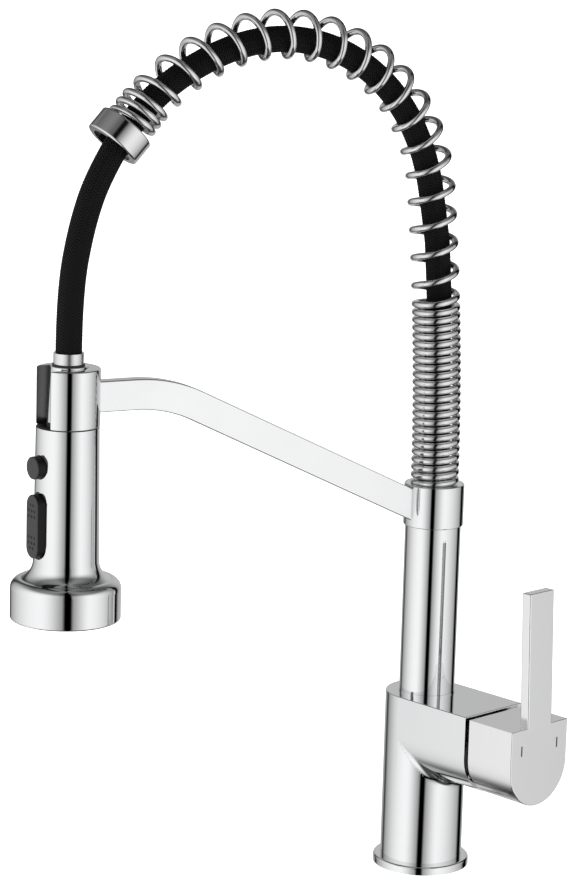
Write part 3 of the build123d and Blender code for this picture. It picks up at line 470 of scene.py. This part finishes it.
def make_shade_pad():
    """A flat black ring of painted shade about the head's axis: the four corners of its section, turned
    all the way round.
    """
    radii = np.array((shade_pad_inner, shade_pad_outer, shade_pad_outer, shade_pad_inner))
    heights = np.array((shade_pad_bottom, shade_pad_bottom, shade_pad_top, shade_pad_top))
    turn = 2 * pi * np.arange(shade_pad_sides)[:, None] / shade_pad_sides
    x = head_axis + radii * np.cos(turn)
    points = np.stack((x, radii * np.sin(turn), heights + np.zeros_like(turn)), axis=-1)
    here = np.arange(shade_pad_sides * 4).reshape(shade_pad_sides, 4)
    onward = np.roll(here, -1, axis=0)
    faces = np.stack((here, onward, np.roll(onward, -1, axis=1), np.roll(here, -1, axis=1)), axis=-1)
    return make("head_shade_pad", points.reshape(-1, 3), faces.reshape(-1, 4).tolist(), seal_rubber)


# Painted shade: this thin black sheet stands for the shadowed seam between the head and the clip.
head_shade_pad = make_shade_pad()
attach(head_shade_pad, "spray_head")

# Controls: a pause button and a spray rocker, moulded in black with a grey satin face. Two groups of
# small dots printed on the rocker stand for its jet and its shower.
control_bearing = radians(188.0)
control_way = Vector((cos(control_bearing), sin(control_bearing), 0.0))
control_side = Vector((-sin(control_bearing), cos(control_bearing), 0.0))
face_starts = head_axis * control_way.x + 19.0 * mm
face_edge = 0.2 * mm
face_colour = (0.042, 0.042, 0.043)
control_grey, shader, place = new_finish("control_grey", face_colour, 0.0, 0.45)
shader.inputs["Specular IOR Level"].default_value = 0.22
outward = place.node("VectorMath", {"operation": "DOT_PRODUCT"}, {0: place, 1: control_way}, "Value")
face = step(outward, face_starts, face_starts + face_edge)
two_tone(shader, face, (0.003, 0.003, 0.003), face_colour)
grain(shader, noise(place, 2600.0, 2.0), 0.1)
give(control_grey, "pause_button", "spray_rocker")

rocker_face = 19.502 * mm
rocker_height = 198.7 * mm
dot_radius = 0.75 * mm
dot_rise = 0.04 * mm
dot_pitch = 2.7 * mm
dot_rows = ((10.6, 2), (7.8, 3), (5.0, 3), (-5.2, 3), (-8.0, 3), (-10.6, 2))
dot_section = ((-1.0, 1.0), (0.4, 1.0), (1.0, 0.6))
dot_sides = 12


def dot_rings(across, above):
    """Rings of one dot, set across and above the rocker's middle: a foot sunk in its face, a rim just
    proud of it and a smaller rim on top."""
    turn = 2 * pi * np.arange(dot_sides) / dot_sides
    rings = []
    for lift, share in dot_section:
        middle = control_way * (rocker_face + lift * dot_rise) + control_side * across
        sideways = np.outer(share * dot_radius * np.cos(turn), control_side)
        upward = np.outer(rocker_height + above + share * dot_radius * np.sin(turn), (0, 0, 1))
        rings.append(sideways + upward + np.array(middle) + (head_axis, 0, 0))
    return rings


dot_points = []
dot_faces = []
for row_height, count in dot_rows:
    for number in range(count):
        dot_faces += rope_faces(len(dot_section), dot_sides, len(dot_points) * dot_sides)
        dot_points += dot_rings((number - (count - 1) / 2) * dot_pitch, row_height * mm)
dot_ink = moulded("dot_ink", (0.002, 0.002, 0.002), 0.7, 0.02)
rocker_dots = make("rocker_dots", np.concatenate(dot_points), dot_faces, dot_ink)
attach(rocker_dots, "spray_rocker")

# Studio: a long lens at the height of the neck and a pale floor in even white light. A round tent of cloth
# stands close about the faucet and shows only in the plate. It is open towards the lens and at two places
# behind, and its cloth shades off towards each opening: these make the plate's dark lines.
lens_pixels = 3000.0
picture_width = 568.0
sensor = 36.0
camera_place = Vector((-0.75434, -1.30656, 0.52909))
camera_turn = radians(-30.0) + 0.0516708
camera_dip = 0.2000786
camera_roll = 0.0279076
level = Vector((cos(camera_turn), sin(camera_turn), 0.0))
ahead = Vector((-sin(camera_turn), cos(camera_turn), 0.0))
forward = ahead * cos(camera_dip) - Vector((0.0, 0.0, sin(camera_dip)))
upright = level.cross(forward)
camera_right = level * cos(camera_roll) + upright * sin(camera_roll)
camera_up = upright * cos(camera_roll) - level * sin(camera_roll)
camera_data = bpy.data.cameras.new("camera")
camera_data.sensor_fit = "HORIZONTAL"
camera_data.sensor_width = sensor
camera_data.lens = lens_pixels / picture_width * sensor
camera = bpy.data.objects.new("camera", camera_data)
turned = Matrix((camera_right, camera_up, -forward)).transposed().to_4x4()
camera.matrix_world = Matrix.Translation(camera_place) @ turned
bpy.context.scene.collection.objects.link(camera)
bpy.context.scene.camera = camera
bpy.context.scene.view_settings.view_transform = "Standard"

floor_half = 30.0
floor_finish, shader, _ = new_finish("floor", (0.9, 0.9, 0.9), 0.0, 0.8)
shader.inputs["Emission Color"].default_value = (1, 1, 1, 1)
shader.inputs["Emission Strength"].default_value = 0.72
corners = np.array(((-1, -1, 0), (1, -1, 0), (1, 1, 0), (-1, 1, 0))) * floor_half
floor = make("floor", corners, [[0, 1, 2, 3]], floor_finish)
floor.visible_glossy = False

world = bpy.data.worlds.new("daylight")
world.use_nodes = True
world.node_tree.nodes["Background"].inputs["Color"].default_value = (1, 1, 1, 1)
bpy.context.scene.world = world

# Each opening of the tent has its bearing from the lens, the angles beside it over which its edge fades,
# and the angles over which the cloth shades, in degrees. The roof and the foot of the tent are dimmer.
tent_radius = 750 * mm
tent_sides = 96
tent_ends = (-2500 * mm, 3000 * mm)
tent_middle = level * (-62 * mm)
tent_light = 1.13
openings = (
    (-1, (4.5, 11), (-14, 48)),
    (128, (5, 18), (-40, 92)),
    (-143, (-4, 15), (-40, 92)),
)
roof_heights = (400 * mm, 1050 * mm)
roof_dim = 0.76
foot_heights = (-1100 * mm, -600 * mm)
foot_dim = 0.92

tent_finish, shader, place = new_finish("tent", (0, 0, 0), 0.0, 1.0)
shader.inputs["Specular IOR Level"].default_value = 0.0
shader.inputs["Emission Strength"].default_value = 1.0
tent_x, tent_y, tent_z = axes_of(place)
offsets = {0: tent_y - tent_middle.y, 1: tent_x - tent_middle.x}
bearing = place.node("Math", {"operation": "ARCTAN2"}, offsets) - atan2(-forward.y, -forward.x)
cloth = tent_light
for middle, edge, shade in openings:
    limits = {0: bearing - radians(middle), 1: pi, 2: -pi}
    aside = abs(place.node("Math", {"operation": "WRAP"}, limits))
    cloth = cloth * step(aside, *np.radians(edge)) * step(aside, *np.radians(shade))
roof = step(tent_z, *roof_heights) * roof_dim
foot = (1.0 - step(tent_z, *foot_heights)) * foot_dim
feed(shader, "Emission Color", cloth * (1.0 - roof) * (1.0 - foot))

tent_turn = 2 * pi * np.arange(tent_sides) / tent_sides
tent_rim = np.stack((np.cos(tent_turn), np.sin(tent_turn), np.zeros(tent_sides)), axis=-1) * tent_radius
tent_grid = np.stack([tent_rim + (tent_middle.x, tent_middle.y, end) for end in tent_ends])
tent = make_tube("tent", tent_grid, tent_finish)
tent.visible_camera = False
tent.visible_diffuse = False
tent.visible_shadow = False
